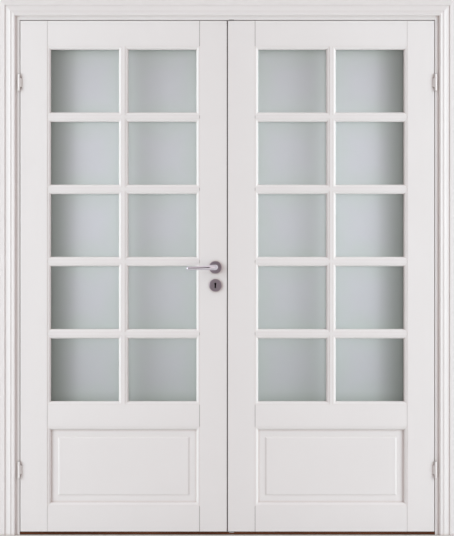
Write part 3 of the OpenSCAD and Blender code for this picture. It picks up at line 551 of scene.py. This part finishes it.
def metal_material(name, light, dark, stretch, roughness):
    return surface(name, BRUSHED, SCRATCH_DEPTH, {"Metallic": 1.0}, Light=opaque(light), Dark=opaque(dark),
                   Stretch=stretch, Roughness=roughness)


zinc_plate = metal_material("zinc_plate", ZINC_LIGHT, ZINC_DARK, SCRATCHED_ALONG_Z, ZINC_ROUGHNESS)
dress(["hinge_pins"], zinc_plate)


# Lock, strike plate and bolts
# A steel mortice lock behind a brushed stainless faceplate, its strike plate, and flush bolts in the edge
# of the passive leaf with keepers above and below. Countersunk screws hold the plates.

STAINLESS_LIGHT = (0.66, 0.65, 0.64)
STAINLESS_DARK = (0.52, 0.51, 0.50)
STAINLESS_ROUGHNESS = 0.26
KEEPER_LIGHT = (0.64, 0.63, 0.62)
KEEPER_DARK = (0.50, 0.49, 0.48)
KEEPER_ROUGHNESS = 0.28
BLACKENED_LIGHT = (0.016, 0.015, 0.016)
BLACKENED_DARK = (0.009, 0.009, 0.010)
BLACKENED_ROUGHNESS = 0.6
SCREW_R = 0.0036
SCREW_PROUD = 0.0002
SCREW_EASE = 0.0004
SCREW_SUNK = 0.0008
SCREW_SIDES = 40
CROSS_HALF_L = 0.0020
CROSS_HALF_W = 0.00045
CROSS_DEPTH = 0.0009
CROSS_TAPER = 0.75
SCREW_FROM_END = 0.011
FLUSH_PLATE_H = 0.180
KEEPER_T = 0.002
KEEPER_SCREW_OUT = 0.014
RIGHTWARD, LEFTWARD = Vector((1, 0, 0)), Vector((-1, 0, 0))
UPWARD, DOWNWARD = Vector((0, 0, 1)), Vector((0, 0, -1))

dress(["lock_faceplate", "strike_plate", "flush_bolt_plates"],
      metal_material("brushed_stainless", STAINLESS_LIGHT, STAINLESS_DARK, SCRATCHED_ALONG_Z,
                     STAINLESS_ROUGHNESS))
dress(["bolt_keepers"],
      metal_material("keeper_stainless", KEEPER_LIGHT, KEEPER_DARK, SCRATCHED_ALONG_X, KEEPER_ROUGHNESS))
dress(["lock_follower", "spindle", "latch_bolt", "dead_bolt", "upper_flush_bolt", "lower_flush_bolt"],
      zinc_plate)
dress(["lock_case"],
      metal_material("blackened_steel", BLACKENED_LIGHT, BLACKENED_DARK, SCRATCHED_ALONG_Z,
                     BLACKENED_ROUGHNESS))


def ring_of(radius, height):
    turns = [2 * math.pi * i / SCREW_SIDES for i in range(SCREW_SIDES)]
    return [Vector((radius * math.cos(turn), radius * math.sin(turn), height)) for turn in turns]


def cross_of(scale, height):
    """The outline of a cross recess, corner by corner."""
    long, short = CROSS_HALF_L * scale, CROSS_HALF_W * scale
    corner = [(short, short), (short, long), (-short, long)]
    points = []
    for i in range(4):
        turn = Matrix.Rotation(math.pi / 2 * i, 3, "Z")
        points += [turn @ Vector((x, y, height)) for x, y in corner]
    return points


def closed_edges(mesh, row):
    return [mesh.edges.get((a, b)) or mesh.edges.new((a, b)) for a, b in zip(row, row[1:] + row[:1])]


def screw_heads(name, body, seats):
    """Countersunk heads with a cross recess, each on a point of a plate and facing one way."""
    shapes = [ring_of(SCREW_R - SCREW_EASE, -SCREW_SUNK), ring_of(SCREW_R, 0.0),
              ring_of(SCREW_R - SCREW_EASE, SCREW_PROUD), cross_of(1.0, SCREW_PROUD),
              cross_of(CROSS_TAPER, SCREW_PROUD - CROSS_DEPTH)]
    mesh = bmesh.new()
    for seat, facing in seats:
        place = Matrix.Translation(seat) @ facing.to_track_quat("Z", "Y").to_matrix().to_4x4()
        sunk, edge, rim, recess, bottom = [[mesh.verts.new(place @ point) for point in shape]
                                           for shape in shapes]
        for first, second in ((sunk, edge), (edge, rim), (recess, bottom)):
            skin(mesh, first, second)
        mesh.faces.new(sunk[::-1])
        mesh.faces.new(bottom)
        rims = closed_edges(mesh, rim) + closed_edges(mesh, recess)
        bmesh.ops.triangle_fill(mesh, edges=rims, use_beauty=True, normal=facing)
    bmesh.ops.recalc_face_normals(mesh, faces=mesh.faces)
    new_piece(name, mesh, zinc_plate, body)


def plate_ends(node):
    """The middle of a tall plate let into the edge of a leaf, and the heights of its end screws."""
    low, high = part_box(node)
    return (low.y + high.y) / 2, (low.z + SCREW_FROM_END, high.z - SCREW_FROM_END)


face_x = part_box("lock_faceplate")[1].x
face_y, face_zs = plate_ends("lock_faceplate")
screw_heads("faceplate_screws", "active_leaf", [(Vector((face_x, face_y, z)), RIGHTWARD) for z in face_zs])

strike_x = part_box("strike_plate")[0].x
strike_y, strike_zs = plate_ends("strike_plate")
screw_heads("strike_screws", "passive_leaf", [(Vector((strike_x, strike_y, z)), LEFTWARD) for z in strike_zs])

flush_y, (flush_low, flush_high) = plate_ends("flush_bolt_plates")
flush_span = FLUSH_PLATE_H - 2 * SCREW_FROM_END
flush_zs = (flush_low, flush_low + flush_span, flush_high - flush_span, flush_high)
screw_heads("flush_plate_screws", "passive_leaf",
            [(Vector((strike_x, flush_y, z)), LEFTWARD) for z in flush_zs])

keeper_low, keeper_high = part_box("bolt_keepers")
keeper_mid = (keeper_low + keeper_high) / 2
keeper_seats = []
for end in (-1, 1):
    at_y = keeper_mid.y + end * KEEPER_SCREW_OUT
    keeper_seats += [(Vector((keeper_mid.x, at_y, keeper_low.z + KEEPER_T)), UPWARD),
                     (Vector((keeper_mid.x, at_y, keeper_high.z - KEEPER_T)), DOWNWARD)]
screw_heads("keeper_screws", "frame", keeper_seats)


# Roses
# Turned discs on both faces of the lock stile, with fine rings from the lathe. They are darker than the
# levers, partly by their metal and partly by a painted reflection of the dark room ahead of the doors.

# Rose colours, which hold a painted dark reflection besides the metal's own tone
ROSE_AND_REFLECTION_LIGHT = (0.44, 0.375, 0.425)
ROSE_AND_REFLECTION_DARK = (0.33, 0.28, 0.325)
ROSE_ROUGHNESS = 0.34
RINGS = {"Scale": 2600.0, "Detail": 3.0, "Roughness": 0.7}
RINGS_ROUGHEN = 0.16
RING_DEPTH = 0.00001


def turned_metal(name, centre):
    """Metal with rings about an axis along Y through a centre."""
    made, tree, shader = new_material(name, Metallic=1.0)
    link = tree.links.new
    place = add_node(tree, "ShaderNodeTexCoord")
    arm = add_node(tree, "ShaderNodeVectorMath", operation="SUBTRACT")
    arm.inputs[1].default_value = centre
    link(place.outputs["Object"], arm.inputs[0])
    flat = add_node(tree, "ShaderNodeVectorMath", operation="MULTIPLY")
    flat.inputs[1].default_value = (1.0, 0.0, 1.0)
    link(arm.outputs[0], flat.inputs[0])
    radius = add_node(tree, "ShaderNodeVectorMath", operation="LENGTH")
    link(flat.outputs[0], radius.inputs[0])
    rings = add_node(tree, "ShaderNodeTexNoise", noise_dimensions="1D", **RINGS)
    link(radius.outputs["Value"], rings.inputs["W"])
    # The rings blend between colours that hold the painted dark reflection
    link(blend_colours(tree, rings.outputs["Fac"], ROSE_AND_REFLECTION_DARK, ROSE_AND_REFLECTION_LIGHT), shader.inputs["Base Color"])
    link(scale_and_add(tree, rings.outputs["Fac"], RINGS_ROUGHEN, ROSE_ROUGHNESS), shader.inputs["Roughness"])
    bumped(tree, shader, rings.outputs["Fac"], RING_DEPTH)
    return made


for kind in ("lever", "key"):
    rose_low, rose_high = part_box("front_" + kind + "_rose")
    turned = turned_metal(kind + "_rose_metal", (rose_low + rose_high) / 2)
    dress(["front_" + kind + "_rose", "back_" + kind + "_rose"], turned)


# Levers
# Each lever is one forged bar, satin-chromed: a neck through the rose, a collar that widens to the bend,
# and a slim arm that droops a little and tapers to its tip.

CHROME_LIGHT = (0.82, 0.80, 0.87)
CHROME_DARK = (0.74, 0.72, 0.79)
CHROME_ROUGHNESS = 0.08
LEVER_NECK_D = 0.017
LEVER_COLLAR_D = 0.020
LEVER_LIFT = 0.001
COLLAR_EASE = 0.0008
LEVER_BEND_R = 0.026
LEVER_T = 0.014
LEVER_DROP = 0.004
LEVER_BACK = 0.004
LEVER_SIDES = 48
COLLAR_STEPS = 10
BEND_STEPS = 24
ARM_STEPS = 60
# The rings of the arm crowd towards its tip by this power
ARM_CROWDING = 1.5
# Along the arm: share of its length, then of the head's diameter as its height, and of its thickness
LEVER_ARM = ((0.0, 0.74, 1.0), (0.12, 0.69, 0.96), (0.3, 0.64, 0.91), (0.55, 0.61, 0.86), (0.78, 0.57, 0.80),
             (0.92, 0.50, 0.71), (1.0, 0.46, 0.64))
TIP_FROM = 0.93
satin_chrome = metal_material("satin_chrome", CHROME_LIGHT, CHROME_DARK, SCRATCHED_ALONG_X, CHROME_ROUGHNESS)


def spline(points, share):
    """Values on a smooth curve through rows whose first column is the share."""
    rows = [row for row in points if row[0] <= share]
    at = min(len(rows) - 1, len(points) - 2)
    before, start, end = points[max(at - 1, 0)], points[at], points[at + 1]
    after = points[min(at + 2, len(points) - 1)]
    t = (share - start[0]) / (end[0] - start[0])
    made = []
    for column in range(1, len(start)):
        slope_in = (end[column] - before[column]) / (end[0] - before[0]) * (end[0] - start[0])
        slope_out = (after[column] - start[column]) / (after[0] - start[0]) * (end[0] - start[0])
        made.append((2 * t**3 - 3 * t**2 + 1) * start[column] + (t**3 - 2 * t**2 + t) * slope_in
                    + (3 * t**2 - 2 * t**3) * end[column] + (t**3 - t**2) * slope_out)
    return made


def between(start, end, share):
    return start + (end - start) * share


def forged_lever(name, node, front):
    """The lever on one face of the leaf, skinned over rings square to its middle line."""
    low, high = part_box(node)
    rose_low, rose_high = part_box(node + "_rose")
    axis_low, axis_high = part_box("spindle")
    axis = (axis_low + axis_high) / 2
    seat = high.y if front else low.y
    outward = -1 if front else 1
    project = high.y - low.y
    head_d = 2 * (high.x - axis.x)
    collar = rose_high.y - rose_low.y + LEVER_LIFT
    arm_out = project - LEVER_T / 2
    bend_out = arm_out - LEVER_BEND_R
    bend_l = LEVER_BEND_R * math.pi / 2
    arm_l = axis.x - low.x - LEVER_BEND_R

    def ring(across, out, along, turn, tall, thick):
        droop = LEVER_DROP * math.sin(math.pi / 2 * along / (bend_l + arm_l))
        points = []
        for i in range(LEVER_SIDES):
            around = 2 * math.pi * i / LEVER_SIDES
            reach = thick / 2 * math.cos(around)
            points.append(Vector((axis.x + across + reach * math.cos(turn),
                                  seat + outward * (out + reach * math.sin(turn)),
                                  axis.z - droop + tall / 2 * math.sin(around))))
        return points

    def round_ring(out, wide):
        return ring(0.0, out, 0.0, 0.0, wide, wide)

    rings = [round_ring(0.0, LEVER_NECK_D), round_ring(collar, LEVER_NECK_D),
             round_ring(collar, LEVER_COLLAR_D - COLLAR_EASE)]
    for i in range(COLLAR_STEPS):
        share = i / COLLAR_STEPS
        wide = between(LEVER_COLLAR_D, head_d, math.sin(math.pi / 2 * share))
        rings.append(round_ring(between(collar + COLLAR_EASE, bend_out, share), wide))
    for i in range(BEND_STEPS):
        share = i / BEND_STEPS
        turn = math.pi / 2 * share
        tall = between(head_d, LEVER_ARM[0][1] * head_d, share)
        thick = between(LEVER_T, head_d, (1 - share)**2)
        rings.append(ring(-LEVER_BEND_R * (1 - math.cos(turn)), bend_out + LEVER_BEND_R * math.sin(turn),
                          share * bend_l, turn, tall, thick))
    for i in range(ARM_STEPS):
        share = 1 - (1 - i / ARM_STEPS)**ARM_CROWDING
        tall, thick = spline(LEVER_ARM, share)
        tip = max(0.0, (share - TIP_FROM) / (1 - TIP_FROM))
        close = math.sqrt(1 - tip**2)
        rings.append(ring(-LEVER_BEND_R - share * arm_l, arm_out - LEVER_BACK * share**2,
                          bend_l + share * arm_l, math.pi / 2, tall * head_d * close,
                          thick * LEVER_T * close))
    mesh = bmesh.new()
    loft(mesh, rings)
    lever = new_piece(name, mesh, satin_chrome, "handle")
    lever.data.shade_smooth()
    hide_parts(node)


forged_lever("front_lever_forging", "front_lever", True)
forged_lever("back_lever_forging", "back_lever", False)


# Studio
# A plain pale floor, a camera square to the doors, and pale walls. Each leaf has a large soft light of its
# own side; one more lights the back, and one the floor alone, so that the doors are lit from below too.

PICTURE_H = 536
PIXEL = 0.003994
LEAF_BOTTOM_PIXEL = 531.49
CAMERA_DISTANCE = 6.0
CAMERA_X = -0.0013
SENSOR_H = 24.0
FLOOR_LIGHT_TONE = (0.62, 0.61, 0.60)
FLOOR_DARK_TONE = (0.58, 0.57, 0.56)
# Colour of the painted shade on the floor where it meets the doors
FLOOR_PAINTED_SHADE = (0.36, 0.35, 0.34)
FLOOR_ROUGHNESS = 0.7
FLOOR_DEPTH = 0.0001
FLOOR_HALF = 9.0
DOOR_MIDDLE = Vector((0.0, 0.0, 1.05))
SIDE_SIZE = (3.0, 3.2)
SIDE_POWER = 208
SIDE_PLACE = Vector((5.3, -3.6, 2.0))
SIDE_COLOUR = (0.90, 1.0, 1.03)
BACK_SIZE = (3.2, 4.0)
BACK_POWER = 290
BACK_PLACE = Vector((3.5, 8.0, 4.2))
BACK_COLOUR = (0.84, 1.0, 1.06)
FLOOR_LIGHT_SIZE = (6.0, 5.0)
FLOOR_LIGHT_POWER = 175
FLOOR_LIGHT_PLACE = Vector((0.0, -5.6, 4.0))
FLOOR_LIGHT_COLOUR = (1.0, 1.0, 1.0)
# The walls are brighter before the doors than behind them
FILL_COLOUR = (1.037, 0.941, 0.938)
FRONT_FILL = 0.825
BACK_FILL = 0.68
FILL_CHANGES = (-0.35, 0.35)
# What they cast is dark ahead of the doors and a little to the left, which gives polished metal its contrast
DARK_WAY = (-0.21, -0.978, 0.0)
DARK_SHARE = 0.05
DARK_EDGES = (38, 24)
BACKDROP_COLOUR = (0.76, 0.75, 0.74)
# What rides on these is lit from one side, as are the pieces that are named for a side
SIDE_OF_BODY = {"active_leaf": "left", "handle": "left", "latch": "left", "lock_bolt": "left",
                "passive_leaf": "right", "upper_bolt": "right", "lower_bolt": "right"}

leaf_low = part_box("active_hinge_stile")[0]
camera_data = bpy.data.cameras.new("camera")
camera_data.sensor_fit = "VERTICAL"
camera_data.sensor_height = SENSOR_H
camera_data.lens = SENSOR_H * CAMERA_DISTANCE / (PICTURE_H * PIXEL)
camera = bpy.data.objects.new("camera", camera_data)
camera.location = (CAMERA_X, leaf_low.y - CAMERA_DISTANCE,
                   leaf_low.z + (LEAF_BOTTOM_PIXEL - PICTURE_H / 2) * PIXEL)
camera.rotation_euler = (math.radians(90), 0.0, 0.0)
bpy.context.scene.collection.objects.link(camera)
bpy.context.scene.camera = camera

floor_mesh = bpy.data.meshes.new("floor")
floor_mesh.from_pydata([(-FLOOR_HALF, -FLOOR_HALF, 0), (FLOOR_HALF, -FLOOR_HALF, 0),
                        (FLOOR_HALF, FLOOR_HALF, 0), (-FLOOR_HALF, FLOOR_HALF, 0)], [], [(0, 1, 2, 3)])
floor = bpy.data.objects.new("floor", floor_mesh)
bpy.context.scene.collection.objects.link(floor)
floor_mesh.materials.append(film_material("floor_paint", FLOOR_LIGHT_TONE, FLOOR_DARK_TONE, FLOOR_PAINTED_SHADE,
                                          FLOOR_ROUGHNESS, FLOOR_DEPTH))


def soft_light(name, place, aim, size, power, colour, lit):
    """A large light that falls on some of the pieces only."""
    data = bpy.data.lights.new(name, "AREA")
    data.shape = "RECTANGLE"
    data.size, data.size_y = size
    data.energy = power
    data.color = colour
    made = bpy.data.objects.new(name, data)
    made.location = place
    made.rotation_euler = (aim - place).to_track_quat("-Z", "Y").to_euler()
    bpy.context.scene.collection.objects.link(made)
    group = bpy.data.collections.new(name + "_falls_on")
    for piece in lit:
        group.objects.link(piece)
    made.light_linking.receiver_collection = group


def lit_from(piece):
    """Which light falls on a piece: its own side's, or a half of both for what spans both leaves."""
    for side in SIDES:
        if piece.name.startswith(side):
            return side
    return SIDE_OF_BODY.get(piece.get("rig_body"), "both")


pieces = [item for item in bpy.data.objects if item.type == "MESH"]
for side, sign in zip(SIDES, (-1, 1)):
    place = Vector((sign * SIDE_PLACE.x, SIDE_PLACE.y, SIDE_PLACE.z))
    for ending, reach, share in (("_light", side, 1.0), ("_half_light", "both", 0.5)):
        soft_light(side + ending, place, DOOR_MIDDLE, SIDE_SIZE, SIDE_POWER * share, SIDE_COLOUR,
                   [item for item in pieces if lit_from(item) == reach])
soft_light("back_light", BACK_PLACE, DOOR_MIDDLE, BACK_SIZE, BACK_POWER, BACK_COLOUR,
           [item for item in pieces if "glass" not in item.name])
soft_light("floor_light", FLOOR_LIGHT_PLACE, FLOOR_LIGHT_PLACE + DOWNWARD, FLOOR_LIGHT_SIZE,
           FLOOR_LIGHT_POWER, FLOOR_LIGHT_COLOUR, [floor])


def fade(tree, value, ends, levels):
    """A level that changes smoothly while a value goes from one end to the other."""
    made = add_node(tree, "ShaderNodeMapRange", interpolation_type="SMOOTHSTEP", From_Min=ends[0],
                    From_Max=ends[1], To_Min=levels[0], To_Max=levels[1])
    tree.links.new(value, made.inputs["Value"])
    return made.outputs["Result"]


def studio_walls():
    """Pale walls, brighter in front and with one dark patch in what they cast, and plain as a backdrop."""
    made = bpy.data.worlds.new("studio")
    made.use_nodes = True
    tree = made.node_tree
    link = tree.links.new
    way = add_node(tree, "ShaderNodeTexCoord").outputs["Generated"]
    parts = add_node(tree, "ShaderNodeSeparateXYZ")
    link(way, parts.inputs[0])
    towards = add_node(tree, "ShaderNodeVectorMath", operation="DOT_PRODUCT")
    towards.inputs[1].default_value = DARK_WAY
    link(way, towards.inputs[0])
    edges = [math.cos(math.radians(edge)) for edge in DARK_EDGES]
    level = add_node(tree, "ShaderNodeMath", operation="MULTIPLY")
    link(fade(tree, parts.outputs["Y"], FILL_CHANGES, (FRONT_FILL, BACK_FILL)), level.inputs[0])
    link(fade(tree, towards.outputs["Value"], edges, (1.0, DARK_SHARE)), level.inputs[1])
    fill = tree.nodes["Background"]
    fill.inputs["Color"].default_value = opaque(FILL_COLOUR)
    link(level.outputs[0], fill.inputs["Strength"])
    backdrop = add_node(tree, "ShaderNodeBackground", Color=opaque(BACKDROP_COLOUR))
    chosen = add_node(tree, "ShaderNodeMixShader")
    link(add_node(tree, "ShaderNodeLightPath").outputs["Is Camera Ray"], chosen.inputs["Fac"])
    link(fill.outputs[0], chosen.inputs[1])
    link(backdrop.outputs[0], chosen.inputs[2])
    link(chosen.outputs[0], tree.nodes["World Output"].inputs["Surface"])
    return made


bpy.context.scene.world = studio_walls()
bpy.context.scene.view_settings.view_transform = "Standard"
